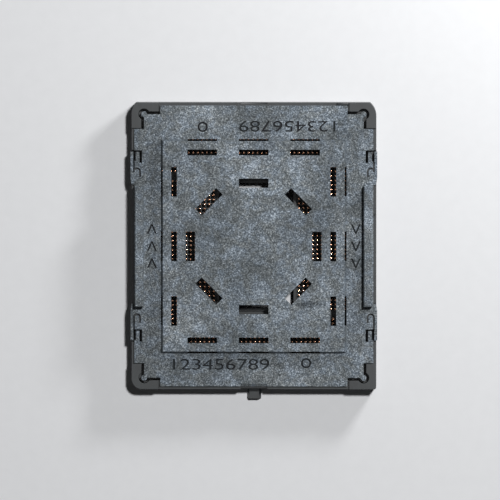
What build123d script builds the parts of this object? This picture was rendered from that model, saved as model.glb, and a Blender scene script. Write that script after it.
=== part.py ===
from build123d import *
from math import atan2, degrees, hypot
import os

# CPU socket for a land-grid processor package, with its clip-on protective cover, in millimetres.
# The origin is the centre of the contact field on the board plane. +Z points away from the board,
# and +Y runs along the long side, away from the small tab at the lower edge.
os.makedirs("parts", exist_ok=True)

# Processor package that the socket takes
package_width = 37.5
package_length = 45.0
package_clearance = 0.15

# Contact field: a square grid round a central window, with its four corner places left empty.
# One more column is left out on the right of the window than on its left.
contact_pitch = 0.8
contact_margin_x = 1.9
contact_margin_y = 1.65
window_columns_left = 8
window_columns_right = 9
window_rows = 30

# Contact finger: it leans from its foot to its tip, at this angle from +X in plan. Both stay
# behind the package's pad by these distances, as the tip only reaches its pad under load.
finger_rise = 1.1
finger_root = 0.9
finger_setback = 0.4
finger_width = 0.36
finger_foot = 0.5
finger_angle = 60

# Socket housing
side_wall = 2.38
end_wall = 2.3
standoff_height = 0.35
standoff_size = 2.6
standoff_inset = 0.6
floor_thickness = 1.75
wall_rise = 2.3
ledge_rise = 0.6
ledge_width = 1.2
well_corner_radius = 0.6
window_margin_x = 0.75
window_margin_y = 1.5
rim_width = 0.5
rim_rise = 0.6
key_radius = 0.8
key_rise = 1.7
key_place = 9.3
finger_notch_length = 11.0
finger_notch_depth = 1.0
end_recess_length = 4.6
end_recess_depth = 0.25
end_recess_height = 1.0
tab_length = 1.85
tab_foot = 2.4
tab_top = 1.7
tab_height = 1.0

# Outside corners of the housing: leg along X, leg along Y, and how far the cut bows out
top_right_cut = (1.1, 2.4, 0.3)
top_left_cut = (0.7, 1.65, 0.12)
bottom_left_cut = (1.7, 1.7, 0.45)
bottom_right_cut = (0.3, 0.3, 0.08)

# Cover plate and its raised platform
cover_thickness = 0.8
cover_inset_x = 0.48
cover_inset_y = 0.5
platform_margin_x = 2.95
platform_margin_y = 4.2
platform_rise = 1.5
platform_draft_run = 0.33
platform_skin = 0.6
platform_wall = 0.7
slot_length = 5.15
outer_slot_width = 1.0
outer_slot_pitch_x = 8.95
outer_slot_pitch_y = 11.25
outer_slot_margin = 1.95
outer_slots_per_side = 3
ring_slot_width = 1.6
ring_slot_radius = 11.0
ring_slot_count = 8
wall_window_height = 1.3

# Grip bars on the cover, and the ribs below it that sit inside the package pocket
grip_end_gap = 0.2
grip_width = 1.5
grip_rise = 2.3
grip_inset = 0.15
grip_chamfer = 0.15
rib_length = 4.0
rib_thickness = 0.6
rib_depth = 0.9
rib_clearance = 0.1
side_rib_margin = 7.65
end_rib_margin = 7.9

# Corner posts of the housing, which stand in L-shaped notches of the cover
notch_length_x = 4.5
notch_length_y = 4.05
notch_width_x = 1.7
notch_width_y = 1.5
post_gap = 0.48
post_end_gap_x = 0.3
post_end_gap_y = 0.12
post_drop = 0.1
boss_radius = 0.5
edge_stop_length = 2.0
edge_stop_gap = 0.1
first_corner_leg = 1.2
first_corner_step = 0.2
finger_chamfer_width = 4.6
finger_chamfer_run = 0.45

# Latches, four of them on the long sides: a sprung tongue with a hook, inside an outer guard
latch_margin = 8.55
latch_length = 5.7
latch_taper = 1.1
latch_bulge = 0.17
guard_thickness = 0.46
guard_depth = 1.8
guard_clearance = 0.1
bottom_guard_lead = 0.6
tongue_width = 0.62
tongue_length = 1.9
tongue_slot = 0.46
tongue_slit = 0.28
spring_radius = 0.53
spring_slit = 0.32
spring_leg = 0.85
spring_offset = 0.18
top_spring_margin = 3.4
bottom_spring_margin = 4.0
hook_length = 1.3
hook_thickness = 0.35
hook_depth = 2.6
nose_reach = 0.16
nose_height = 0.6
hook_pocket_depth = 3.1
catch_gap = 0.1
catch_bar_height = 0.5

# Heights above the board
floor_bottom = standoff_height
floor_top = floor_bottom + floor_thickness
seat_top = floor_top + ledge_rise
wall_top = floor_top + wall_rise
cover_top = wall_top + cover_thickness
platform_top = cover_top + platform_rise
ceiling = platform_top - platform_skin
post_top = cover_top - post_drop

# Whole columns and rows, an even number of each, that fit on the package
contact_columns = 2 * int((package_width / 2 - contact_margin_x) / contact_pitch)
contact_rows = 2 * int((package_length / 2 - contact_margin_y) / contact_pitch)

# Half sizes in plan
pocket_x = package_width / 2 + package_clearance
pocket_y = package_length / 2 + package_clearance
housing_x = pocket_x + side_wall
housing_y = pocket_y + end_wall
field_window_left = contact_pitch * window_columns_left
field_window_right = contact_pitch * window_columns_right
field_window_y = contact_pitch * window_rows / 2
window_left = field_window_left + contact_pitch / 2 - window_margin_x
window_right = field_window_right + contact_pitch / 2 - window_margin_x
window_y = field_window_y + contact_pitch / 2 - window_margin_y
cover_x = housing_x - cover_inset_x
cover_y = housing_y - cover_inset_y
platform_x = package_width / 2 - platform_margin_x
platform_y = package_length / 2 - platform_margin_y
platform_foot_x = platform_x + platform_draft_run
platform_foot_y = platform_y + platform_draft_run
hollow_x = platform_x - platform_wall
hollow_y = platform_y - platform_wall
outer_slot_x = platform_x - outer_slot_margin
outer_slot_y = platform_y - outer_slot_margin

# Places of the latch, measured out from the middle of the socket
latch_end = housing_y - latch_margin
latch_start = latch_end - latch_length
guard_out = housing_x + latch_bulge
guard_in = guard_out - guard_thickness
tongue_out = guard_in - tongue_slot
tongue_in = tongue_out - tongue_width
slot_in = tongue_in - tongue_slot
tongue_root = latch_end - tongue_length
catch_in = tongue_in + hook_thickness + nose_reach + catch_gap
catch_out = guard_in - guard_clearance
pocket_floor = wall_top - hook_pocket_depth
catch_bottom = wall_top - hook_depth + nose_height + catch_gap / 2
catch_top = catch_bottom + catch_bar_height
hook_start = (tongue_root + tongue_slit + latch_end - hook_length) / 2

# Places of the corner notches and posts, measured the same way
notch_x = cover_x - notch_width_x
notch_y = cover_y - notch_width_y
notch_end_x = cover_x - notch_length_x
notch_end_y = cover_y - notch_length_y
post_end_x = notch_end_x + post_end_gap_x
post_end_y = notch_end_y + post_end_gap_y

sides = (1, -1)
quadrants = [(x_sign, y_sign) for x_sign in sides for y_sign in sides]


def span(x_low, x_high, y_low, y_high, mode=Mode.ADD):
    """Draw a rectangle between two places along X and two along Y."""
    with Locations(((x_low + x_high) / 2, (y_low + y_high) / 2)):
        Rectangle(abs(x_high - x_low), abs(y_high - y_low), mode=mode)


def span_in(quadrant, x_low, x_high, y_low, y_high, mode=Mode.ADD):
    """Draw the same rectangle in the quadrant that a pair of signs names."""
    x_sign, y_sign = quadrant
    span(x_sign * x_low, x_sign * x_high, y_sign * y_low, y_sign * y_high, mode)


def corner_cut(x_sign, y_sign, cut):
    """Give the points of one cut corner: on the side wall, at mid arc and on the end wall."""
    leg_x, leg_y, bow = cut
    side = Vector(x_sign * housing_x, y_sign * (housing_y - leg_y))
    end = Vector(x_sign * (housing_x - leg_x), y_sign * housing_y)
    outward = Vector(x_sign * leg_y, y_sign * leg_x).normalized()
    return side, (side + end) / 2 + outward * bow, end


def draw_outer_slots():
    """Draw the three slots along each side of the platform."""
    with GridLocations(outer_slot_pitch_x, 2 * outer_slot_y, outer_slots_per_side, 2):
        Rectangle(slot_length, outer_slot_width)
    with GridLocations(2 * outer_slot_x, outer_slot_pitch_y, 2, outer_slots_per_side):
        Rectangle(outer_slot_width, slot_length)


def draw_wall_windows():
    """Draw the windows in the platform's sloping walls, in line with the outer slots."""
    band_x = (hollow_x + platform_foot_x) / 2
    band_y = (hollow_y + platform_foot_y) / 2
    with GridLocations(outer_slot_pitch_x, 2 * band_y, outer_slots_per_side, 2):
        Rectangle(slot_length, platform_foot_y - hollow_y)
    with GridLocations(2 * band_x, outer_slot_pitch_y, 2, outer_slots_per_side):
        Rectangle(platform_foot_x - hollow_x, slot_length)


def guard_start(y_sign):
    """Give the place where a guard starts, nearer the middle for the two at the bottom."""
    return latch_start - bottom_guard_lead * (y_sign < 0)


def draw_guard(x_sign, y_sign):
    """Draw the outer guard of one latch, which tapers in towards the grip bar."""
    inner = cover_x - cover_inset_x
    start = guard_start(y_sign)
    Polygon(
        (x_sign * inner, y_sign * start),
        (x_sign * housing_x, y_sign * start),
        (x_sign * guard_out, y_sign * (start + latch_taper)),
        (x_sign * guard_out, y_sign * latch_end),
        (x_sign * inner, y_sign * latch_end),
        align=None,
    )


def draw_latch_slots(x_sign, y_sign):
    """Draw the slots that free the tongue of one latch, and the slit that curls over its root."""
    quadrant = (x_sign, y_sign)
    root = tongue_root + tongue_slit
    span_in(quadrant, slot_in, tongue_in, tongue_root, latch_end + tongue_slit)
    span_in(quadrant, tongue_out, guard_in, root, latch_end + (y_sign > 0) * tongue_slit)
    free_end = latch_end if y_sign > 0 else tongue_root
    outer_end = guard_out if y_sign > 0 else guard_in
    span_in(quadrant, slot_in, outer_end, free_end, free_end + tongue_slit)
    top_place = latch_end - top_spring_margin
    bottom_place = bottom_spring_margin - latch_end
    place = top_place if y_sign > 0 else bottom_place
    middle = x_sign * (tongue_out - spring_offset)
    inner = middle - x_sign * spring_radius
    outer = middle + x_sign * spring_radius
    with BuildLine() as curl:
        Line((inner, place - spring_leg), (inner, place))
        ThreePointArc((inner, place), (middle, place + spring_radius), (outer, place))
        Line((outer, place), (outer, y_sign * (tongue_root + tongue_slit / 2)))
    SlotArc(curl.wires()[0], spring_slit)


def draw_hook(x_sign):
    """Draw the hook of one latch from its side, with its nose pointing outwards."""
    back = x_sign * tongue_in
    front = x_sign * (tongue_in + hook_thickness)
    tip = x_sign * (tongue_in + hook_thickness + nose_reach)
    bottom = wall_top - hook_depth
    Polygon(
        (back, wall_top),
        (front, wall_top),
        (front, bottom + nose_height),
        (tip, bottom + nose_height),
        (front, bottom),
        (back, bottom),
        align=None,
    )


def bank_places(side):
    """List the places of one L-shaped bank: the rows past the window and the columns beside it."""
    places = []
    window_side = field_window_left if side < 0 else field_window_right
    for row in range(contact_rows):
        y = (row - (contact_rows - 1) / 2) * contact_pitch
        for column in range(contact_columns):
            x = (column - (contact_columns - 1) / 2) * contact_pitch
            past = side * y > field_window_y
            beside = abs(y) < field_window_y and side * x > window_side
            corner = row in (0, contact_rows - 1) and column in (0, contact_columns - 1)
            if (past or beside) and not corner:
                places.append((x, y))
    return places


def lay_bank(side, name):
    """Stand a finger at each place of a bank, the two banks leaning towards each other."""
    turn = finger_angle if side < 0 else finger_angle + 180
    fingers = []
    for x, y in bank_places(side):
        fingers.append(finger.part.moved(Location((x, y, floor_top), (0, 0, turn))))
    bank = Compound(fingers)
    bank.label = name
    export_step(bank, f"parts/{name}.step")


# Housing outline, seen from above
corners = [
    corner_cut(1, 1, top_right_cut),
    corner_cut(-1, 1, top_left_cut)[::-1],
    corner_cut(-1, -1, bottom_left_cut),
    corner_cut(1, -1, bottom_right_cut)[::-1],
]
with BuildSketch() as outline:
    with BuildLine():
        for corner, following in zip(corners, corners[1:] + corners[:1]):
            ThreePointArc(*corner)
            Line(corner[2], following[0])
    make_face()


# Housing: the body with its package pocket, contact floor and central window. The pocket's corners
# are relieved, so that the gaps round the posts look down into it.
with BuildPart() as housing:
    with BuildSketch(Plane.XY.offset(floor_bottom)):
        add(outline.sketch)
    extrude(amount=wall_top - floor_bottom)
    with BuildSketch(Plane.XY.offset(seat_top)):
        Rectangle(2 * pocket_x, 2 * pocket_y)
        for quadrant in quadrants:
            span_in(quadrant, notch_end_x, notch_x + post_gap, notch_end_y, notch_y + post_gap)
        with GridLocations(2 * notch_x, 2 * notch_y, 2, 2):
            Circle(boss_radius + post_gap)
    extrude(amount=wall_top - seat_top, mode=Mode.SUBTRACT)
    with BuildSketch(Plane.XY.offset(floor_top)):
        RectangleRounded(
            2 * (pocket_x - ledge_width), 2 * (pocket_y - ledge_width), well_corner_radius
        )
    extrude(amount=seat_top - floor_top, mode=Mode.SUBTRACT)

    # Rim round the window, then the window itself
    with BuildSketch(Plane.XY.offset(floor_top)):
        rim_left = -window_left - rim_width
        rim_right = window_right + rim_width
        span(rim_left, rim_right, -window_y - rim_width, window_y + rim_width)
    extrude(amount=rim_rise)
    with BuildSketch(Plane.XY.offset(floor_bottom)):
        span(-window_left, window_right, -window_y, window_y)
    extrude(amount=floor_thickness + rim_rise, mode=Mode.SUBTRACT)

    # Keys that meet the notches of the package
    with BuildSketch(Plane.XY.offset(floor_top)):
        with Locations((pocket_x, -key_place), (-pocket_x, -key_place)):
            Circle(key_radius)
    extrude(amount=key_rise)

    # Finger notches in the long walls, and a shallow recess outside each short wall
    with BuildSketch(Plane.XY.offset(wall_top - finger_notch_depth)):
        for side in sides:
            span(side * pocket_x, side * housing_x, -finger_notch_length / 2, finger_notch_length / 2)
    extrude(amount=finger_notch_depth, mode=Mode.SUBTRACT)
    with BuildSketch(Plane.XY.offset(wall_top - end_recess_height)):
        with GridLocations(0, 2 * housing_y - end_recess_depth, 1, 2):
            Rectangle(end_recess_length, end_recess_depth)
    extrude(amount=end_recess_height, mode=Mode.SUBTRACT)

    # Corner posts, clear of the cover's notches and of the round bosses in their inner corners
    with BuildSketch(Plane.XY.offset(wall_top)):
        for quadrant in quadrants:
            span_in(quadrant, post_end_x, housing_x, post_end_y, housing_y)
        for quadrant in quadrants:
            span_in(quadrant, 0, notch_x + post_gap, 0, notch_y + post_gap, Mode.SUBTRACT)
        with GridLocations(2 * notch_x, 2 * notch_y, 2, 2):
            Circle(boss_radius + post_gap, mode=Mode.SUBTRACT)
        add(outline.sketch, mode=Mode.INTERSECT)
    extrude(amount=post_top - wall_top)

    # Stop beside the cover's top edge, next to the first post
    with BuildSketch(Plane.XY.offset(wall_top)):
        stop_end = post_end_x - edge_stop_gap
        span(stop_end - edge_stop_length, stop_end, cover_y + edge_stop_gap, housing_y)
    extrude(amount=post_top - wall_top)

    # Pockets for the hooks, open above the catch bars, and recesses outside for the guards
    with BuildSketch(Plane.XY.offset(pocket_floor)):
        for quadrant in quadrants:
            span_in(quadrant, slot_in, catch_in, tongue_root, latch_end + tongue_slit)
    extrude(amount=wall_top - pocket_floor, mode=Mode.SUBTRACT)
    with BuildSketch(Plane.XY.offset(catch_top)):
        for quadrant in quadrants:
            span_in(quadrant, catch_in, housing_x, tongue_root, latch_end + tongue_slit)
    extrude(amount=wall_top - catch_top, mode=Mode.SUBTRACT)
    with BuildSketch(Plane.XY.offset(pocket_floor)):
        for quadrant in quadrants:
            span_in(quadrant, catch_in, housing_x, hook_start, hook_start + hook_length)
    extrude(amount=catch_bottom - pocket_floor, mode=Mode.SUBTRACT)
    with BuildSketch(Plane.XY.offset(wall_top - guard_depth - guard_clearance)):
        for quadrant in quadrants:
            span_in(
                quadrant,
                catch_out,
                housing_x,
                guard_start(quadrant[1]) - guard_clearance,
                latch_end + guard_clearance,
            )
    extrude(amount=guard_depth + guard_clearance, mode=Mode.SUBTRACT)

    # Tab at the lower edge, narrower at its top
    tab_plane = Plane((0, -housing_y, floor_bottom), x_dir=(1, 0, 0), z_dir=(0, -1, 0))
    with BuildSketch(tab_plane):
        Polygon(
            (-tab_foot / 2, 0),
            (tab_foot / 2, 0),
            (tab_top / 2, tab_height),
            (-tab_top / 2, tab_height),
            align=None,
        )
    extrude(amount=tab_length)

    # Standoffs on the board, at the corners and halfway along each wall
    with BuildSketch(Plane.XY):
        reach_x = housing_x - standoff_inset - standoff_size / 2
        reach_y = housing_y - standoff_inset - standoff_size / 2
        with GridLocations(2 * reach_x, reach_y, 2, 3):
            Rectangle(standoff_size, standoff_size)
        with GridLocations(0, 2 * reach_y, 1, 2):
            Rectangle(standoff_size, standoff_size)
        add(outline.sketch, mode=Mode.INTERSECT)
    extrude(amount=standoff_height)

housing.part.label = "socket_housing"
export_step(housing.part, "parts/socket_housing.step")


# Contact finger with its place over the origin: a leaning prism cut back to its tip
front = finger_foot / 2 - finger_root
back = -finger_foot / 2 - finger_root
lean = -finger_setback - front
with BuildPart() as finger:
    with BuildSketch():
        Polygon(
            (back, -finger_width / 2), (front, 0), (back, finger_width / 2), align=None
        )
    extrude(amount=hypot(lean, finger_rise), dir=(lean, 0, finger_rise))
    back_face = Plane(
        (back, 0, 0), x_dir=(0, 1, 0), z_dir=(finger_rise, 0, back + finger_setback)
    )
    split(bisect_by=back_face)

lay_bank(-1, "contacts_left_bottom")
lay_bank(1, "contacts_top_right")


# Cover: the plate with its corner notches and latch guards
with BuildPart() as cover:
    with BuildSketch(Plane.XY.offset(wall_top)):
        Rectangle(2 * cover_x, 2 * cover_y)
        for quadrant in quadrants:
            span_in(quadrant, notch_x, cover_x, notch_end_y, cover_y, Mode.SUBTRACT)
            span_in(quadrant, notch_end_x, cover_x, notch_y, cover_y, Mode.SUBTRACT)
            draw_guard(*quadrant)
        with GridLocations(2 * notch_x, 2 * notch_y, 2, 2):
            Circle(boss_radius)
    extrude(amount=cover_thickness)

    # Raised platform with sloping walls, hollow below
    with BuildSketch(Plane.XY.offset(cover_top)):
        Rectangle(2 * platform_foot_x, 2 * platform_foot_y)
    extrude(amount=platform_rise, taper=degrees(atan2(platform_draft_run, platform_rise)))
    with BuildSketch(Plane.XY.offset(wall_top)):
        Rectangle(2 * hollow_x, 2 * hollow_y)
    extrude(amount=ceiling - wall_top, mode=Mode.SUBTRACT)

    # Slots through the platform: three along each side and a ring of tangential ones
    with BuildSketch(Plane.XY.offset(ceiling)):
        draw_outer_slots()
        with PolarLocations(ring_slot_radius, ring_slot_count):
            Rectangle(ring_slot_width, slot_length)
    extrude(amount=platform_skin, mode=Mode.SUBTRACT)
    with BuildSketch(Plane.XY.offset(wall_top)):
        draw_wall_windows()
    extrude(amount=cover_thickness + wall_window_height, mode=Mode.SUBTRACT)

    # Step down that marks the first corner, and chamfers for a finger at the middle of each end
    with BuildSketch(Plane.XY.offset(cover_top - first_corner_step)):
        Polygon(
            (-cover_x, notch_end_y),
            (-cover_x, notch_end_y - first_corner_leg),
            (-cover_x + first_corner_leg, notch_end_y),
            align=None,
        )
    extrude(amount=first_corner_step, mode=Mode.SUBTRACT)
    with BuildSketch(Plane((-finger_chamfer_width / 2, 0, 0), x_dir=(0, 1, 0), z_dir=(1, 0, 0))):
        for side in sides:
            Polygon(
                (side * cover_y, cover_top),
                (side * cover_y, cover_top - finger_chamfer_run),
                (side * (cover_y - finger_chamfer_run), cover_top),
                align=None,
            )
    extrude(amount=finger_chamfer_width, mode=Mode.SUBTRACT)

    # Grip bars
    with BuildSketch(Plane.XY.offset(cover_top)):
        with GridLocations(2 * (cover_x - grip_inset) - grip_width, 0, 2, 1):
            Rectangle(grip_width, 2 * (latch_start - grip_end_gap))
    extrude(amount=grip_rise)
    grip_tops = cover.faces().filter_by(Axis.Z).sort_by(Axis.Z)[-2:]
    chamfer(grip_tops.edges(), grip_chamfer)

    # Latches: guards down the outside, hooks below the tongues, and the slots round the tongues
    with BuildSketch(Plane.XY.offset(wall_top - guard_depth)):
        for quadrant in quadrants:
            start = guard_start(quadrant[1]) + latch_taper
            span_in(quadrant, guard_in, guard_out, start, latch_end)
    extrude(amount=guard_depth)
    for x_sign, y_sign in quadrants:
        hook_plane = Plane((0, y_sign * hook_start, 0), x_dir=(1, 0, 0), z_dir=(0, -1, 0))
        with BuildSketch(hook_plane):
            draw_hook(x_sign)
        extrude(amount=-y_sign * hook_length)
    with BuildSketch(Plane.XY.offset(wall_top)):
        for quadrant in quadrants:
            draw_latch_slots(*quadrant)
    extrude(amount=cover_thickness, mode=Mode.SUBTRACT)

    # Locating ribs below the plate, just inside the package pocket
    rib_reach_x = pocket_x - rib_clearance - rib_thickness / 2
    rib_reach_y = pocket_y - rib_clearance - rib_thickness / 2
    with BuildSketch(Plane.XY.offset(wall_top - rib_depth)):
        with GridLocations(2 * rib_reach_x, 2 * (pocket_y - side_rib_margin), 2, 2):
            Rectangle(rib_thickness, rib_length)
        with GridLocations(2 * (pocket_x - end_rib_margin), 2 * rib_reach_y, 2, 2):
            Rectangle(rib_length, rib_thickness)
    extrude(amount=rib_depth)

cover.part.label = "pick_and_place_cover"
export_step(cover.part, "parts/pick_and_place_cover.step")

heights = f"floor {floor_top:.2f}, seat {seat_top:.2f}, walls {wall_top:.2f}, top {platform_top:.2f}"
print("heights above the board:", heights)
print("contacts in the two banks:", len(bank_places(-1)), len(bank_places(1)))
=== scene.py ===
import logging
from dataclasses import dataclass
from enum import Enum
from itertools import product
from math import cos, pi, radians, sin
from typing import Any, Iterable, Sequence

import bmesh
import bpy
import numpy as np
from mathutils import Matrix, Vector


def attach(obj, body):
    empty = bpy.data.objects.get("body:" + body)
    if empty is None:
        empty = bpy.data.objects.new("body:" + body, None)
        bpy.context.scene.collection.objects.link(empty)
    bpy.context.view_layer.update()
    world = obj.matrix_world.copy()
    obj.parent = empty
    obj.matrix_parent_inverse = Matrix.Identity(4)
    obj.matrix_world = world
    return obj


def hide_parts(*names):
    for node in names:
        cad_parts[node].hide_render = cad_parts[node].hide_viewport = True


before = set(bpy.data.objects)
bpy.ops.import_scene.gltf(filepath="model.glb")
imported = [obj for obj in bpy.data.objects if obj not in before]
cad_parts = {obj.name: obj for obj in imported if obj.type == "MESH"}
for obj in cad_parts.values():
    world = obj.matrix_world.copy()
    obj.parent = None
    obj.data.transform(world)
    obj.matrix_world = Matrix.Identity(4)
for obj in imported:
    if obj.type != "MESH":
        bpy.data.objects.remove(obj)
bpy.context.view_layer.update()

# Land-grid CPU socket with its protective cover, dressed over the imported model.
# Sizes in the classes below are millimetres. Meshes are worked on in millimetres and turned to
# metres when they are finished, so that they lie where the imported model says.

log = logging.getLogger("socket")

MM = 0.001
# Edges sharper than the first are rounded, and faces that meet at less than the second are one
SHARP_ANGLE = radians(35)
FLAT_ANGLE = radians(0.6)
# Part of the shortest edge near it that a rounded edge may take
SHARE_OF_EDGE = 0.42
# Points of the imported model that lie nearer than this, in millimetres, are one
SAME_POINT = 0.002

Color = tuple[float, float, float, float]
Point = tuple[float, float]
Spot = tuple[float, float, float]


class Bank(Enum):
    """One of the two L-shaped banks of contacts, by the side of the field that it fills."""

    LEFT_BOTTOM = -1
    TOP_RIGHT = 1


class Layer(Enum):
    """The slots of the record that a piece takes its finish from."""

    HOUSING = "housing_plastic"
    CONTACT = "contact_metal"
    COVER = "cover_plastic"


def linear(code: str) -> Color:
    """Turn an sRGB hex colour into linear light.

    Args:
        code: The colour as #rrggbb.

    Returns:
        Red, green and blue in linear light, and an alpha of 1.
    """
    channels = [int(code[place:place + 2], 16) / 255 for place in (1, 3, 5)]
    light = [c / 12.92 if c <= 0.04045 else ((c + 0.055) / 1.055) ** 2.4 for c in channels]
    return (light[0], light[1], light[2], 1.0)


def add_node(
    tree: bpy.types.NodeTree,
    kind: str,
    settings: dict[Any, Any] | None = None,
    links: dict[Any, bpy.types.NodeSocket] | None = None,
) -> bpy.types.Node:
    """Add a node with its settings and links.

    Args:
        tree: The node tree that it goes into.
        kind: The node's type, such as ShaderNodeBump.
        settings: Values by the name of a property, or by the name or number of an input. A
            colour mix takes its share as input 0 and its two colours as inputs 6 and 7.
        links: Sockets that feed the inputs, by the input's name or number.

    Returns:
        The new node.
    """
    node = tree.nodes.new(kind)
    for name, value in (settings or {}).items():
        if isinstance(name, str) and hasattr(node, name):
            setattr(node, name, value)
        else:
            node.inputs[name].default_value = value
    for name, source in (links or {}).items():
        tree.links.new(source, node.inputs[name])
    return node


def new_material(name: str) -> tuple[bpy.types.Material, bpy.types.NodeTree, bpy.types.Node]:
    """Make a material that holds only a Principled shader.

    Args:
        name: The material's name.

    Returns:
        The material, its node tree and its shader.
    """
    material = bpy.data.materials.new(name)
    material.use_nodes = True
    tree = material.node_tree
    tree.nodes.clear()
    output = add_node(tree, "ShaderNodeOutputMaterial")
    shader = add_node(tree, "ShaderNodeBsdfPrincipled")
    tree.links.new(shader.outputs["BSDF"], output.inputs["Surface"])
    return material, tree, shader


def set_ramp(node: bpy.types.Node, stops: Sequence[tuple[float, Color]]) -> None:
    """Give a colour ramp its stops.

    Args:
        node: The colour ramp.
        stops: Place and colour of each stop, from low to high.
    """
    elements = node.color_ramp.elements
    while len(elements) < len(stops):
        elements.new(1.0)
    for element, (place, color) in zip(elements, stops):
        element.position = place
        element.color = color


def per_metre(size_mm: float) -> float:
    """Give the scale of a pattern whose features are of that size in millimetres."""
    return 1 / (size_mm * MM)


@dataclass(frozen=True)
class FilledNylon:
    """Glass-filled polyamide, moulded: matt, with grains, pale fibre flecks and cloudy patches."""

    name: str = "glass_filled_nylon_moulded"
    dark: str = "#303539"
    body: str = "#585e63"
    pale: str = "#848b91"
    fleck: str = "#c6ccd1"
    # What the surface is multiplied by where it is at its warmest and its bluest
    warm: str = "#fffdf8"
    cool: str = "#f2f8ff"
    grain_mm: float = 0.22
    fibre_mm: float = 0.36
    cloud_mm: float = 2.2
    patch_mm: float = 9.0
    grain_gain: float = 1.3
    fibre_gain: float = 0.7
    cloud_gain: float = 0.5
    patch_gain: float = 0.5
    roughness: float = 0.6
    index: float = 1.53
    # The etched skin shades its own reflections, so they are weaker than the index alone gives
    specular: float = 0.12
    # Where the melt came in: place, half length and half width of the smear that it left
    gate_at: Spot = (9.6, -10.1, 6.7)
    gate_reach: Spot = (2.6, 0.75, 1.0)
    gate_shade: str = "#b4b8bc"
    # How far the fibres break the smear up, and where it starts to fade and ends
    gate_ragged: float = 2.4
    gate_fade_from: float = 1.5
    gate_fade_to: float = 2.4

    def build(self) -> bpy.types.Material:
        """Make the material.

        Returns:
            The material.
        """
        material, tree, shader = new_material(self.name)
        shader.inputs["IOR"].default_value = self.index
        shader.inputs["Specular IOR Level"].default_value = self.specular
        place = add_node(tree, "ShaderNodeTexCoord").outputs["Object"]
        # The fibres end at the skin, which gives grains a quarter of a millimetre across
        grain = add_node(
            tree, "ShaderNodeTexNoise",
            {"Scale": per_metre(self.grain_mm), "Detail": 1.0, "Roughness": 0.6},
            {"Vector": place},
        )
        # Here and there a fibre lies along the skin and shows as a short pale streak
        fibre = add_node(
            tree, "ShaderNodeTexNoise",
            {"Scale": per_metre(self.fibre_mm), "Detail": 2.0, "Distortion": 2.5},
            {"Vector": place},
        )
        # The melt cools unevenly, which leaves clouds a few millimetres across
        cloud = add_node(
            tree, "ShaderNodeTexNoise",
            {"Scale": per_metre(self.cloud_mm), "Detail": 3.0, "Roughness": 0.6,
             "Distortion": 0.6},
            {"Vector": place},
        )
        patch = add_node(
            tree, "ShaderNodeTexNoise",
            {"Scale": per_metre(self.patch_mm), "Detail": 2.0},
            {"Vector": place},
        )
        # Each pattern swings about 0.5, so their gains add up about the middle of the ramp
        layers = (
            (grain, self.grain_gain), (fibre, self.fibre_gain),
            (cloud, self.cloud_gain), (patch, self.patch_gain),
        )
        total = add_node(tree, "ShaderNodeMath", {
            "operation": "ADD", 0: 0.5, 1: -0.5 * sum(gain for _, gain in layers),
        }).outputs[0]
        for pattern, gain in layers:
            total = add_node(
                tree, "ShaderNodeMath", {"operation": "MULTIPLY_ADD", 1: gain},
                {0: pattern.outputs["Fac"], 2: total},
            ).outputs[0]
        ramp = add_node(tree, "ShaderNodeValToRGB", {}, {"Fac": total})
        set_ramp(ramp, [
            (0.1, linear(self.dark)), (0.45, linear(self.body)),
            (0.72, linear(self.pale)), (0.95, linear(self.fleck)),
        ])
        tint = add_node(tree, "ShaderNodeValToRGB", {}, {"Fac": cloud.outputs["Fac"]})
        set_ramp(tint, [(0.4, linear(self.warm)), (0.6, linear(self.cool))])
        tinted = add_node(
            tree, "ShaderNodeMix", {"data_type": "RGBA", "blend_type": "MULTIPLY", 0: 1.0},
            {6: ramp.outputs["Color"], 7: tint.outputs["Color"]},
        )
        # A smear is left beside the gate, ragged where the fibres break it up
        around = add_node(
            tree, "ShaderNodeVectorMath", {
                "operation": "SUBTRACT", 1: [length * MM for length in self.gate_at],
            }, {0: place},
        )
        reach = add_node(
            tree, "ShaderNodeVectorMath", {
                "operation": "DIVIDE", 1: [length * MM for length in self.gate_reach],
            }, {0: around.outputs["Vector"]},
        )
        away = add_node(
            tree, "ShaderNodeVectorMath", {"operation": "LENGTH"}, {0: reach.outputs["Vector"]}
        )
        ragged = add_node(
            tree, "ShaderNodeMath", {"operation": "MULTIPLY_ADD", 1: self.gate_ragged},
            {0: fibre.outputs["Fac"], 2: away.outputs["Value"]},
        )
        smear = add_node(
            tree, "ShaderNodeMapRange",
            {"From Min": self.gate_fade_from, "From Max": self.gate_fade_to,
             "To Min": 1.0, "To Max": 0.0},
            {"Value": ragged.outputs[0]},
        )
        smeared = add_node(
            tree, "ShaderNodeMix",
            {"data_type": "RGBA", "blend_type": "MULTIPLY", 7: linear(self.gate_shade)},
            {0: smear.outputs["Result"], 6: tinted.outputs[2]},
        )
        tree.links.new(smeared.outputs[2], shader.inputs["Base Color"])
        rough = add_node(
            tree, "ShaderNodeMapRange",
            {"From Min": 0.3, "From Max": 0.7, "To Min": self.roughness + 0.1,
             "To Max": self.roughness - 0.12},
            {"Value": grain.outputs["Fac"]},
        )
        tree.links.new(rough.outputs["Result"], shader.inputs["Roughness"])
        bump = add_node(
            tree, "ShaderNodeBump", {"Strength": 0.5, "Distance": 0.05 * MM},
            {"Height": grain.outputs["Fac"]},
        )
        tree.links.new(bump.outputs["Normal"], shader.inputs["Normal"])
        return material


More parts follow.
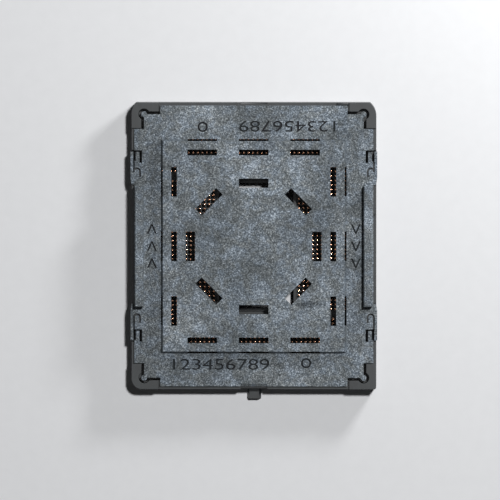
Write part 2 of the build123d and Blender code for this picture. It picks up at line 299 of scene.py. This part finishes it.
@dataclass(frozen=True)
class SmoothPolymer:
    """Liquid crystal polymer, moulded in a polished tool: darker, smooth, with faint flow lines."""

    name: str = "liquid_crystal_polymer_moulded"
    dark: str = "#15181a"
    body: str = "#202426"
    flow_mm: float = 1.6
    grain_mm: float = 0.3
    roughness: float = 0.42
    index: float = 1.6
    specular: float = 0.3

    def build(self) -> bpy.types.Material:
        """Make the material.

        Returns:
            The material.
        """
        material, tree, shader = new_material(self.name)
        shader.inputs["IOR"].default_value = self.index
        shader.inputs["Specular IOR Level"].default_value = self.specular
        place = add_node(tree, "ShaderNodeTexCoord").outputs["Object"]
        # The melt runs along the walls, so its lines are drawn out along the long side
        along = add_node(
            tree, "ShaderNodeMapping", {"Scale": (1.0, 0.25, 1.0)}, {"Vector": place}
        )
        flow = add_node(
            tree, "ShaderNodeTexNoise",
            {"Scale": per_metre(self.flow_mm), "Detail": 4.0, "Distortion": 1.2},
            {"Vector": along.outputs["Vector"]},
        )
        grain = add_node(
            tree, "ShaderNodeTexNoise", {"Scale": per_metre(self.grain_mm), "Detail": 2.0},
            {"Vector": place},
        )
        ramp = add_node(tree, "ShaderNodeValToRGB", {}, {"Fac": flow.outputs["Fac"]})
        set_ramp(ramp, [(0.35, linear(self.dark)), (0.65, linear(self.body))])
        tree.links.new(ramp.outputs["Color"], shader.inputs["Base Color"])
        rough = add_node(
            tree, "ShaderNodeMapRange",
            {"To Min": self.roughness - 0.08, "To Max": self.roughness + 0.1},
            {"Value": grain.outputs["Fac"]},
        )
        tree.links.new(rough.outputs["Result"], shader.inputs["Roughness"])
        bump = add_node(
            tree, "ShaderNodeBump", {"Strength": 0.2, "Distance": 0.01 * MM},
            {"Height": grain.outputs["Fac"]},
        )
        tree.links.new(bump.outputs["Normal"], shader.inputs["Normal"])
        return material


@dataclass(frozen=True)
class GoldPlating:
    """Gold-plated tips on stamped copper alloy springs, whose brown beams also carry painted shade.
    """

    name: str = "gold_plated_copper_alloy_stamped"
    # Bare brown beam, made darker still as painted shade for the beams down in the shaded wells
    bare_and_shade: str = "#281610"
    deep: str = "#a9795f"
    body: str = "#e2b496"
    # Heights between which the bare beam, darkened as painted shade, turns into the plated tip
    shaded_bare_up_to: float = 2.85
    plated_from: float = 3.0
    grain_mm: float = 0.15
    roughness: float = 0.2

    def build(self) -> bpy.types.Material:
        """Make the material.

        Returns:
            The material.
        """
        material, tree, shader = new_material(self.name)
        shader.inputs["Metallic"].default_value = 1.0
        place = add_node(tree, "ShaderNodeTexCoord").outputs["Object"]
        grain = add_node(
            tree, "ShaderNodeTexNoise", {"Scale": per_metre(self.grain_mm), "Detail": 3.0},
            {"Vector": place},
        )
        ramp = add_node(tree, "ShaderNodeValToRGB", {}, {"Fac": grain.outputs["Fac"]})
        set_ramp(ramp, [(0.35, linear(self.deep)), (0.6, linear(self.body))])
        height = add_node(tree, "ShaderNodeSeparateXYZ", {}, {"Vector": place})
        # Below the plating the beam takes the dark colour: real bare metal, and painted shade lower
        # in the wells
        plated_unshaded = add_node(
            tree, "ShaderNodeMapRange",
            {"From Min": self.shaded_bare_up_to * MM, "From Max": self.plated_from * MM},
            {"Value": height.outputs["Z"]},
        )
        color = add_node(
            tree, "ShaderNodeMix", {"data_type": "RGBA", 6: linear(self.bare_and_shade)},
            {0: plated_unshaded.outputs["Result"], 7: ramp.outputs["Color"]},
        )
        tree.links.new(color.outputs[2], shader.inputs["Base Color"])
        rough = add_node(
            tree, "ShaderNodeMapRange",
            {"To Min": self.roughness + 0.2, "To Max": self.roughness - 0.05},
            {"Value": plated_unshaded.outputs["Result"]},
        )
        tree.links.new(rough.outputs["Result"], shader.inputs["Roughness"])
        return material


@dataclass(frozen=True)
class SolderAlloy:
    """Tin and silver solder, reflowed into balls: grey metal with a slightly frosted skin."""

    name: str = "tin_silver_solder_reflowed"
    dark: str = "#8f9296"
    body: str = "#c3c6ca"
    grain_mm: float = 0.12
    roughness: float = 0.42

    def build(self) -> bpy.types.Material:
        """Make the material.

        Returns:
            The material.
        """
        material, tree, shader = new_material(self.name)
        shader.inputs["Metallic"].default_value = 1.0
        place = add_node(tree, "ShaderNodeTexCoord").outputs["Object"]
        grain = add_node(
            tree, "ShaderNodeTexVoronoi", {"Scale": per_metre(self.grain_mm)},
            {"Vector": place},
        )
        ramp = add_node(tree, "ShaderNodeValToRGB", {}, {"Fac": grain.outputs["Distance"]})
        set_ramp(ramp, [(0.1, linear(self.body)), (0.9, linear(self.dark))])
        tree.links.new(ramp.outputs["Color"], shader.inputs["Base Color"])
        rough = add_node(
            tree, "ShaderNodeMapRange",
            {"To Min": self.roughness - 0.08, "To Max": self.roughness + 0.15},
            {"Value": grain.outputs["Distance"]},
        )
        tree.links.new(rough.outputs["Result"], shader.inputs["Roughness"])
        return material


@dataclass(frozen=True)
class PaleBoard:
    """Matt pale board that the socket stands on for its picture."""

    name: str = "pale_matt_board"
    body: str = "#dcdddf"
    shade: str = "#dadbdd"
    grain_mm: float = 2.0

    def build(self) -> bpy.types.Material:
        """Make the material.

        Returns:
            The material.
        """
        material, tree, shader = new_material(self.name)
        shader.inputs["Roughness"].default_value = 0.9
        shader.inputs["Specular IOR Level"].default_value = 0.1
        place = add_node(tree, "ShaderNodeTexCoord").outputs["Object"]
        grain = add_node(
            tree, "ShaderNodeTexNoise", {"Scale": per_metre(self.grain_mm)}, {"Vector": place}
        )
        ramp = add_node(tree, "ShaderNodeValToRGB", {}, {"Fac": grain.outputs["Fac"]})
        set_ramp(ramp, [(0.3, linear(self.shade)), (0.7, linear(self.body))])
        tree.links.new(ramp.outputs["Color"], shader.inputs["Base Color"])
        return material


def place_mesh(
    name: str, mesh: bpy.types.Mesh, material: bpy.types.Material
) -> bpy.types.Object:
    """Link a mesh into the scene.

    Args:
        name: The object's name.
        mesh: Its mesh.
        material: Its one finish.

    Returns:
        The new object.
    """
    mesh.materials.clear()
    mesh.materials.append(material)
    piece = bpy.data.objects.new(name, mesh)
    bpy.context.scene.collection.objects.link(piece)
    return piece


def mesh_from(
    name: str, verts: Iterable[Sequence[float]], faces: Iterable[Sequence[int]]
) -> bpy.types.Mesh:
    """Make a mesh from plain lists of points and faces.

    Args:
        name: The mesh's name.
        verts: Its points.
        faces: The numbers of the points round each face.

    Returns:
        The new mesh.
    """
    mesh = bpy.data.meshes.new(name)
    mesh.from_pydata([tuple(v) for v in verts], [], [tuple(f) for f in faces])
    mesh.update()
    return mesh


def repeated(
    name: str, points: np.ndarray, faces: Sequence[Sequence[int]], places: Iterable[Point]
) -> bpy.types.Mesh:
    """Make one mesh of many copies of a shape.

    Args:
        name: The mesh's name.
        points: The shape's points.
        faces: The numbers of the points round each of its faces.
        places: Where in plan the copies stand.

    Returns:
        The new mesh.
    """
    verts: list[np.ndarray] = []
    all_faces: list[list[int]] = []
    for number, (x, y) in enumerate(places):
        verts.append(points + np.array((x, y, 0)))
        all_faces += [[number * len(points) + index for index in face] for face in faces]
    return mesh_from(name, np.vstack(verts), all_faces)


def copy_of_node(node: str) -> bpy.types.Mesh:
    """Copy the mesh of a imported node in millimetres, its flat faces joined up again.

    Args:
        node: The node's name.

    Returns:
        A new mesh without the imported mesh's normals and loose edges.
    """
    mesh = bmesh.new()
    mesh.from_mesh(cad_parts[node].data)
    bmesh.ops.scale(mesh, vec=(1 / MM, 1 / MM, 1 / MM), verts=mesh.verts)
    bmesh.ops.remove_doubles(mesh, verts=mesh.verts, dist=SAME_POINT)
    bmesh.ops.dissolve_limit(
        mesh, angle_limit=FLAT_ANGLE, verts=mesh.verts, edges=mesh.edges
    )
    mesh.verts.index_update()
    verts = [v.co[:] for v in mesh.verts]
    faces = [[v.index for v in face.verts] for face in mesh.faces]
    mesh.free()
    return mesh_from(node + "_copy", verts, faces)


def corners_of(mesh: bpy.types.Mesh) -> tuple[Vector, Vector]:
    """Give the lowest and highest corner of the box round a mesh."""
    points = [vert.co.copy() for vert in mesh.vertices]
    return Vector(map(min, *points)), Vector(map(max, *points))


def apply_modifiers(piece: bpy.types.Object) -> None:
    """Turn what the modifiers of a piece show into its own mesh.

    Args:
        piece: The piece.
    """
    shown = piece.evaluated_get(bpy.context.evaluated_depsgraph_get())
    mesh = bpy.data.meshes.new_from_object(shown)
    piece.modifiers.clear()
    piece.data = mesh


def is_inside(point: Vector, regions: Iterable[tuple[Vector, Vector]]) -> bool:
    """Tell whether a point lies in one of the boxes that are given by two corners."""
    return any(
        all(low[axis] <= point[axis] <= high[axis] for axis in range(3)) for low, high in regions
    )


def round_edges(
    piece: bpy.types.Object,
    width: float,
    crisp: Sequence[tuple[Vector, Vector]] = (),
    segments: int = 2,
) -> None:
    """Round the sharp edges of a piece as a mould does, and less where its edges are short.

    Args:
        piece: The piece, in millimetres.
        width: Width of the rounding in millimetres.
        crisp: Boxes inside which the edges stay sharp.
        segments: Number of faces across the rounding.
    """
    shape = bmesh.new()
    shape.from_mesh(piece.data)
    # A flat face with hundreds of corners folds over where the rounding narrows it
    wide = [face for face in shape.faces if len(face.verts) > 4]
    bmesh.ops.triangulate(shape, faces=wide)
    weights = shape.edges.layers.float.new("bevel_weight_edge")
    for edge in shape.edges:
        if len(edge.link_faces) != 2 or edge.calc_face_angle() < SHARP_ANGLE:
            continue
        if not is_inside((edge.verts[0].co + edge.verts[1].co) / 2, crisp):
            room = min(e.calc_length() for vert in edge.verts for e in vert.link_edges)
            edge[weights] = min(1.0, SHARE_OF_EDGE * room / width)
    shape.to_mesh(piece.data)
    shape.free()
    bevel = piece.modifiers.new("rounding", "BEVEL")
    bevel.width = width
    bevel.segments = segments
    bevel.limit_method = "WEIGHT"
    bevel.use_clamp_overlap = False
    apply_modifiers(piece)
    # Joined up again, the flat faces shade as flat beside the rounding
    joined = bmesh.new()
    joined.from_mesh(piece.data)
    bmesh.ops.dissolve_limit(
        joined, angle_limit=FLAT_ANGLE, verts=joined.verts, edges=joined.edges,
        delimit={"MATERIAL"},
    )
    joined.to_mesh(piece.data)
    joined.free()


def cut_away(
    piece: bpy.types.Object, cutter: bpy.types.Mesh, material: bpy.types.Material
) -> None:
    """Cut a closed shape out of a piece.

    Args:
        piece: The piece, in millimetres.
        cutter: The shape, in millimetres.
        material: The finish of the cut faces.
    """
    tool = place_mesh("cutter", cutter, material)
    cut = piece.modifiers.new("cut", "BOOLEAN")
    cut.operation = "DIFFERENCE"
    cut.solver = "EXACT"
    cut.material_mode = "TRANSFER"
    cut.object = tool
    apply_modifiers(piece)
    bpy.data.objects.remove(tool)


def finish_mesh(piece: bpy.types.Object) -> None:
    """Turn a piece from millimetres to metres and smooth it.

    Args:
        piece: The piece.
    """
    piece.data.transform(Matrix.Scale(MM, 4))
    piece.data.shade_smooth()
    piece.data.set_sharp_from_angle(angle=SHARP_ANGLE)
    even = piece.modifiers.new("even_normals", "WEIGHTED_NORMAL")
    even.keep_sharp = True
    apply_modifiers(piece)


def count_triangles(piece: bpy.types.Object) -> int:
    """Count the triangles of a piece."""
    piece.data.calc_loop_triangles()
    return len(piece.data.loop_triangles)


@dataclass
class Field:
    """The grid of contacts, the same for the contacts, the wells below them and the balls."""

    pitch: float = 0.8
    columns: int = 42
    rows: int = 52
    # Columns left out on each side of the middle, and rows left out, for the central window
    window_left: int = 8
    window_right: int = 9
    window_rows: int = 30
    # Degrees from +X to the direction in which the left and bottom bank leans
    angle: float = 60.0

    def beside(self, bank: Bank) -> int:
        """Count the columns of one bank beside the window."""
        left_out = self.window_left if bank is Bank.LEFT_BOTTOM else self.window_right
        return self.columns // 2 - left_out

    def past(self) -> int:
        """Count the rows past one end of the window."""
        return (self.rows - self.window_rows) // 2

    def places(self, bank: Bank) -> list[Point]:
        """List the places of one bank's contacts.

        Args:
            bank: The bank.

        Returns:
            Each place in plan.
        """
        side = bank.value
        window_x = (self.columns / 2 - self.beside(bank)) * self.pitch
        window_y = (self.rows / 2 - self.past()) * self.pitch
        found = []
        for row in range(self.rows):
            y = (row - (self.rows - 1) / 2) * self.pitch
            for column in range(self.columns):
                x = (column - (self.columns - 1) / 2) * self.pitch
                past = side * y > window_y
                beside = abs(y) < window_y and side * x > window_x
                corner = row in (0, self.rows - 1) and column in (0, self.columns - 1)
                if (past or beside) and not corner:
                    found.append((x, y))
        return found

    def heading(self, bank: Bank) -> Vector:
        """Give the direction in plan from a contact's root to its tip."""
        turn = radians(self.angle + (180 if bank is Bank.TOP_RIGHT else 0))
        return Vector((cos(turn), sin(turn)))


@dataclass
class Contacts:
    """One bank of sprung contacts: narrow stamped beams that rise from their wells to a curl."""

    bank: Bank
    node: str
    thickness: float = 0.07
    # How far the middle of the stamped strip is raised above its edges
    crown: float = 0.022
    # How far along Y the tip stands from above its root
    sway: float = 0.0
    # Distance from its place in the grid and height of the beam's middle line, and half its
    # width there. The top of the curl stands 0.4 behind that place.
    line: tuple[Spot, ...] = (
        (-0.86, 1.20, 0.17), (-0.86, 2.02, 0.17), (-0.84, 2.20, 0.19), (-0.81, 2.45, 0.18),
        (-0.75, 2.75, 0.16), (-0.68, 2.97, 0.13), (-0.60, 3.075, 0.12), (-0.50, 3.12, 0.13),
        (-0.40, 3.138, 0.14), (-0.34, 3.125, 0.14), (-0.29, 3.085, 0.12), (-0.26, 3.03, 0.09),
    )

    def beam(self) -> tuple[np.ndarray, list[list[int]]]:
        """Make one contact whose place is the origin, leaning along +X.

        Returns:
            Its points and its faces.
        """
        points = []
        count = len(self.line)
        for number, (along, height, half) in enumerate(self.line):
            before = self.line[max(number - 1, 0)]
            after = self.line[min(number + 1, count - 1)]
            run = Vector((after[0] - before[0], after[1] - before[1])).normalized()
            over = Vector((-run.y, run.x)) * self.thickness / 2
            raised = 1 + 2 * self.crown / self.thickness
            outline = ((1, 1), (raised, 0), (1, -1), (-1, -1), (-1, 1))
            for share_over, share_side in outline:
                points.append((
                    along + share_over * over.x, share_side * half, height + share_over * over.y
                ))
        sides = len(outline)
        faces = [list(reversed(range(sides)))]
        for start in range(0, sides * (count - 1), sides):
            for side in range(sides):
                after = (side + 1) % sides
                faces.append([
                    start + side, start + after, start + sides + after, start + sides + side
                ])
        faces.append([sides * (count - 1) + side for side in range(sides)])
        return np.array(points), faces

    def build(self, field_grid: Field, material: bpy.types.Material) -> bpy.types.Object:
        """Make the bank.

        Args:
            field_grid: The grid of contacts.
            material: The finish.

        Returns:
            The bank as one object.
        """
        points, faces = self.beam()
        heading = field_grid.heading(self.bank)
        turned = np.column_stack((
            points[:, 0] * heading.x - points[:, 1] * heading.y,
            points[:, 0] * heading.y + points[:, 1] * heading.x,
            points[:, 2],
        ))
        heights = points[:, 2]
        turned[:, 1] += self.sway * (heights - heights.min()) / np.ptp(heights)
        mesh = repeated(self.node, turned, faces, field_grid.places(self.bank))
        piece = place_mesh(self.node + "_beams", mesh, material)
        finish_mesh(piece)
        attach(piece, "housing")
        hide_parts(self.node)
        return piece


@dataclass
class Housing:
    """The moulded socket body, with a well below each contact."""

    rounding: float = 0.04
    well_half: float = 0.33
    well_depth: float = 1.2
    # How far the middle of a well lies behind its contact's place
    root_distance: float = 0.86
    floor_top: float = 2.1
    # How far past the blocks of wells the edges stay sharp
    crisp_margin: float = 0.01
    # Points of the wells and of the floor round them that lie nearer than this are one
    seam: float = 0.001

    def blocks(self, field_grid: Field, bank: Bank) -> list[tuple[Point, int, int]]:
        """List the two rectangular blocks of wells of one bank.

        Args:
            field_grid: The grid of contacts.
            bank: The bank.

        Returns:
            The lower corner of each block, its columns and its rows.
        """
        pitch = field_grid.pitch
        shift = -self.root_distance * field_grid.heading(bank)
        low_x = -field_grid.columns * pitch / 2 + shift.x
        low_y = -field_grid.rows * pitch / 2 + shift.y
        beside = field_grid.beside(bank)
        past = field_grid.past()
        middle = field_grid.window_rows
        if bank is Bank.LEFT_BOTTOM:
            return [
                ((low_x, low_y), field_grid.columns, past),
                ((low_x, low_y + past * pitch), beside, middle),
            ]
        right_x = low_x + (field_grid.columns - beside) * pitch
        return [
            ((low_x, low_y + (past + middle) * pitch), field_grid.columns, past),
            ((right_x, low_y + past * pitch), beside, middle),
        ]

    def wells(
        self, field_grid: Field
    ) -> tuple[list[Vector], list[list[int]], list[bpy.types.Mesh]]:
        """Make the grid of wells, and the blocks that it takes the place of.

        Args:
            field_grid: The grid of contacts.

        Returns:
            Points and faces of the grid, and a closed mesh of each block to cut away.
        """
        verts: list[Vector] = []
        faces: list[list[int]] = []
        cutters: list[bpy.types.Mesh] = []
        top = self.floor_top
        bottom = top - self.well_depth
        pitch = field_grid.pitch
        for bank in Bank:
            for (x_low, y_low), columns, rows in self.blocks(field_grid, bank):
                size = Vector((columns * pitch, rows * pitch, 2 * self.well_depth))
                middle = Vector((x_low + size.x / 2, y_low + size.y / 2, top))
                block = bmesh.new()
                bmesh.ops.create_cube(
                    block, size=1.0,
                    matrix=Matrix.Translation(middle) @ Matrix.Diagonal((*size, 1.0)),
                )
                cutters.append(bpy.data.meshes.new("block_of_wells"))
                block.to_mesh(cutters[-1])
                block.free()
                for row in range(rows):
                    for column in range(columns):
                        x = x_low + (column + 0.5) * pitch
                        y = y_low + (row + 0.5) * pitch
                        start = len(verts)
                        for reach, height in (
                            (pitch / 2, top), (self.well_half, top), (self.well_half, bottom)
                        ):
                            for sx, sy in ((-1, -1), (1, -1), (1, 1), (-1, 1)):
                                verts.append(Vector((x + sx * reach, y + sy * reach, height)))
                        for ring in (0, 4):
                            for side in range(4):
                                after = (side + 1) % 4
                                faces.append([
                                    start + ring + side, start + ring + after,
                                    start + ring + 4 + after, start + ring + 4 + side,
                                ])
        return verts, faces, cutters

    def build(self, field_grid: Field, material: bpy.types.Material) -> bpy.types.Object:
        """Make the housing.

        Args:
            field_grid: The grid of contacts.
            material: The finish.

        Returns:
            The housing as one object.
        """
        piece = place_mesh("socket_housing_moulding", copy_of_node("socket_housing"), material)
        verts, faces, cutters = self.wells(field_grid)
        regions = []
        margin = Vector([self.crisp_margin] * 3)
        for cutter in cutters:
            low, high = corners_of(cutter)
            regions.append((low - margin, high + margin))
            cut_away(piece, cutter, material)
        round_edges(piece, self.rounding, regions)
        joined = bmesh.new()
        joined.from_mesh(piece.data)
        grid = mesh_from("well_grid", verts, faces)
        joined.from_mesh(grid)
        bmesh.ops.remove_doubles(joined, verts=joined.verts, dist=self.seam)
        joined.to_mesh(piece.data)
        joined.free()
        finish_mesh(piece)
        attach(piece, "housing")
        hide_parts("socket_housing")
        return piece


@dataclass
class Mark:
    """One engraved mark on the cover: figures, or a plain sign, in its place on the plate."""

    text: str
    place: Point
    # Degrees that it is turned by, and its size once it is stretched to fit
    turn: float
    height: float
    length: float


@dataclass
class Cover:
    """The moulded pick-and-place cover, with its engraved figures."""

    rounding: float = 0.03
    plate_top: float = 5.2
    mark_depth: float = 0.45
    # Steps along each curve of a mark, and how near its points are when they are one
    mark_steps: int = 4
    mark_seam: float = 0.0005
    # Lowest and highest corner of the latch on the top right, whose slits keep crisp edges
    latch: tuple[Point, Point] = ((17.8, 9.8), (21.8, 17.0))
    marks: tuple[Mark, ...] = (
        Mark("123456789", (5.8, 20.85), 180, 1.9, 16.8),
        Mark("123456789", (-5.7, -20.62), 0, 1.9, 16.8),
        Mark("> > >", (-17.75, 0.0), 90, 1.7, 7.6),
        Mark("> > >", (17.75, 0.0), -90, 1.7, 7.6),
        Mark("o", (-8.9, 20.75), 0, 1.8, 1.8),
        Mark("o", (9.1, -20.4), 0, 1.8, 1.8),
    )

    def cutter(self, mark: Mark) -> bpy.types.Mesh:
        """Make the closed shape that engraves one mark.

        Args:
            mark: The mark.

        Returns:
            Its mesh, in place, reaching as far above the plate as below.
        """
        curve = bpy.data.curves.new("mark", "FONT")
        curve.body = mark.text
        curve.align_x = "CENTER"
        curve.align_y = "CENTER"
        curve.resolution_u = self.mark_steps
        source = bpy.data.objects.new("mark", curve)
        bpy.context.scene.collection.objects.link(source)
        shown = source.evaluated_get(bpy.context.evaluated_depsgraph_get())
        mesh = bpy.data.meshes.new_from_object(shown)
        bpy.data.objects.remove(source)
        shape = bmesh.new()
        shape.from_mesh(mesh)
        bmesh.ops.remove_doubles(shape, verts=shape.verts, dist=self.mark_seam)
        flat = bmesh.ops.extrude_face_region(shape, geom=shape.faces[:], use_keep_orig=True)
        raised = [part for part in flat["geom"] if isinstance(part, bmesh.types.BMVert)]
        bmesh.ops.translate(shape, vec=(0, 0, 2 * self.mark_depth), verts=raised)
        xs = [vert.co.x for vert in shape.verts]
        ys = [vert.co.y for vert in shape.verts]
        middle = Vector(((min(xs) + max(xs)) / 2, (min(ys) + max(ys)) / 2, 0))
        stretch = Matrix.Diagonal((
            mark.length / (max(xs) - min(xs)), mark.height / (max(ys) - min(ys)), 1.0, 1.0
        ))
        move = (
            Matrix.Translation((*mark.place, self.plate_top - self.mark_depth))
            @ Matrix.Rotation(radians(mark.turn), 4, "Z") @ stretch @ Matrix.Translation(-middle)
        )
        bmesh.ops.transform(shape, matrix=move, verts=shape.verts)
        bmesh.ops.recalc_face_normals(shape, faces=shape.faces)
        shape.to_mesh(mesh)
        shape.free()
        return mesh

    def build(
        self, material: bpy.types.Material, engraved: bpy.types.Material
    ) -> bpy.types.Object:
        """Make the cover.

        Args:
            material: The finish.
            engraved: The finish inside the marks, darkened as painted shade for the shadow in the
                grooves.

        Returns:
            The cover as one object.
        """
        mesh = copy_of_node("pick_and_place_cover")
        piece = place_mesh("pick_and_place_moulding", mesh, material)
        regions = []
        for mark in self.marks:
            tool = self.cutter(mark)
            regions.append(corners_of(tool))
            cut_away(piece, tool, engraved)
        for side_x, side_y in product((-1, 1), repeat=2):
            near, far = ((side_x * x, side_y * y) for x, y in self.latch)
            low = Vector((*map(min, near, far), 0.0))
            regions.append((low, Vector((*map(max, near, far), 2 * self.plate_top))))
        round_edges(piece, self.rounding, regions)
        finish_mesh(piece)
        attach(piece, "cover")
        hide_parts("pick_and_place_cover")
        return piece


@dataclass
class SolderBalls:
    """The balls below the housing, one for each contact."""

    radius: float = 0.25
    middle: float = 0.27
    # Points round a ball, and degrees of latitude of its rings, the highest at the housing
    sides: int = 10
    rings: tuple[float, ...] = (20.0, -12.0, -40.0, -66.0)

    def build(self, field_grid: Field, material: bpy.types.Material) -> bpy.types.Object:
        """Make the balls.

        Args:
            field_grid: The grid of contacts.
            material: The finish.

        Returns:
            All the balls as one object.
        """
        points = []
        for tilt in self.rings:
            for side in range(self.sides):
                turn = 2 * pi * side / self.sides
                points.append((
                    self.radius * cos(radians(tilt)) * cos(turn),
                    self.radius * cos(radians(tilt)) * sin(turn),
                    self.middle + self.radius * sin(radians(tilt)),
                ))
        points.append((0.0, 0.0, self.middle - self.radius))
        faces = [list(range(self.sides))]
        for ring in range(len(self.rings) - 1):
            for side in range(self.sides):
                after = (side + 1) % self.sides
                upper = ring * self.sides
                lower = upper + self.sides
                faces.append([upper + side, lower + side, lower + after, upper + after])
        lowest = (len(self.rings) - 1) * self.sides
        for side in range(self.sides):
            faces.append([lowest + side, len(points) - 1, lowest + (side + 1) % self.sides])
        places = [place for bank in Bank for place in field_grid.places(bank)]
        mesh = repeated("balls", np.array(points), faces, places)
        piece = place_mesh("solder_balls", mesh, material)
        finish_mesh(piece)
        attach(piece, "housing")
        return piece


@dataclass
class Studio:
    """Camera, floor and soft lamps."""

    # A long lens, as the walls of the slots are seen from straight above all over the cover
    lens: float = 800.0
    sensor: float = 36.0
    # Width of what the camera sees, the point that it looks at, and the direction back to it
    view_width: float = 86.96
    target: Spot = (-0.64, -0.63, 6.2)
    lean: Spot = (0.02, 0.045, 1.0)
    # Nearest and farthest that the camera sees, in metres, as all that follows
    clip: Point = (0.01, 10.0)
    # High and far, as its shadows in the slots are the same all over the cover
    key_at: Spot = (0.255, 0.298, 1.15)
    key_power: float = 11.4
    key_size: float = 0.08
    # Low and near, which brightens the walls and the corner that face it
    side_at: Spot = (0.12, 0.134, 0.085)
    side_power: float = 0.25
    side_size: float = 0.04
    world_strength: float = 0.02
    backdrop: str = "#e4e5e7"
    floor_half: float = 2.0

    def aim(self, lamp: bpy.types.Object, target: Vector) -> None:
        """Turn a lamp towards a point."""
        lamp.rotation_euler = (target - lamp.location).to_track_quat("-Z", "Y").to_euler()

    def set_camera(self) -> None:
        """Place the camera above the socket, leaning as in the photograph."""
        data = bpy.data.cameras.new("camera")
        data.lens = self.lens
        data.sensor_width = self.sensor
        data.clip_start, data.clip_end = self.clip
        camera = bpy.data.objects.new("camera", data)
        bpy.context.scene.collection.objects.link(camera)
        distance = self.lens * self.view_width / self.sensor * MM
        target = Vector(self.target) * MM
        back = Vector(self.lean).normalized()
        camera.location = target + back * distance
        right = Vector((0, 1, 0)).cross(back).normalized()
        turn = Matrix((right, back.cross(right), back)).transposed()
        camera.rotation_euler = turn.to_euler()
        bpy.context.scene.camera = camera

    def set_lamp(self, name: str, place: Sequence[float], power: float, size: float) -> None:
        """Hang one square lamp that shines on the socket.

        Args:
            name: The lamp's name.
            place: Where it hangs.
            power: Power in watts.
            size: Side of the lamp.
        """
        data = bpy.data.lights.new(name, "AREA")
        data.shape = "SQUARE"
        data.size = size
        data.energy = power
        lamp = bpy.data.objects.new(name, data)
        bpy.context.scene.collection.objects.link(lamp)
        lamp.location = place
        self.aim(lamp, Vector((0, 0, 0)))

    def set_world(self) -> None:
        """Light from all round, and show a pale backdrop to the camera and in reflections."""
        world = bpy.data.worlds.new("studio")
        bpy.context.scene.world = world
        world.use_nodes = True
        tree = world.node_tree
        tree.nodes.clear()
        seen = linear(self.backdrop)
        ray = add_node(tree, "ShaderNodeLightPath")
        glossy = add_node(
            tree, "ShaderNodeMath", {"operation": "MAXIMUM"},
            {0: ray.outputs["Is Camera Ray"], 1: ray.outputs["Is Glossy Ray"]},
        )
        shown = add_node(
            tree, "ShaderNodeMath", {"operation": "MAXIMUM"},
            {0: glossy.outputs[0], 1: ray.outputs["Is Transmission Ray"]},
        )
        light = add_node(
            tree, "ShaderNodeBackground",
            {"Color": (1.0, 1.0, 1.0, 1.0), "Strength": self.world_strength},
        )
        backdrop = add_node(tree, "ShaderNodeBackground", {"Color": seen, "Strength": 1.0})
        mix = add_node(
            tree, "ShaderNodeMixShader", {},
            {0: shown.outputs[0], 1: light.outputs[0], 2: backdrop.outputs[0]},
        )
        add_node(tree, "ShaderNodeOutputWorld", {}, {"Surface": mix.outputs[0]})

    def build(self) -> None:
        """Set up the camera, the lamps, the world and the floor."""
        self.set_camera()
        self.set_lamp("key_lamp", self.key_at, self.key_power, self.key_size)
        self.set_lamp("side_lamp", self.side_at, self.side_power, self.side_size)
        self.set_world()
        far = self.floor_half
        corners = [(-far, -far, 0), (far, -far, 0), (far, far, 0), (-far, far, 0)]
        floor = place_mesh(
            "floor", mesh_from("floor", corners, [(0, 1, 2, 3)]), PaleBoard().build()
        )
        bpy.context.scene.view_settings.view_transform = "Standard"


def main() -> None:
    """Build the scene piece by piece."""
    logging.basicConfig(level=logging.INFO, format="%(name)s: %(message)s")
    Studio().build()
    field_grid = Field()
    gold = GoldPlating().build()
    # The grooves of the marks get a dark, smooth finish: painted shade for the shadow down in them
    engraved = SmoothPolymer(
        "glass_filled_nylon_engraved_painted_shade", "#181b1e", "#23282b", specular=0.08
    ).build()
    # Seen through the slots, the tips of the bank at the top and right stand a little aside
    pieces = [
        Housing().build(field_grid, SmoothPolymer().build()),
        Contacts(Bank.LEFT_BOTTOM, "contacts_left_bottom").build(field_grid, gold),
        Contacts(Bank.TOP_RIGHT, "contacts_top_right", sway=0.2).build(field_grid, gold),
        SolderBalls().build(field_grid, SolderAlloy().build()),
        Cover().build(FilledNylon().build(), engraved),
    ]
    for piece in pieces:
        log.info("%s: %d triangles", piece.name, count_triangles(piece))


if __name__ == "__main__":
    main()
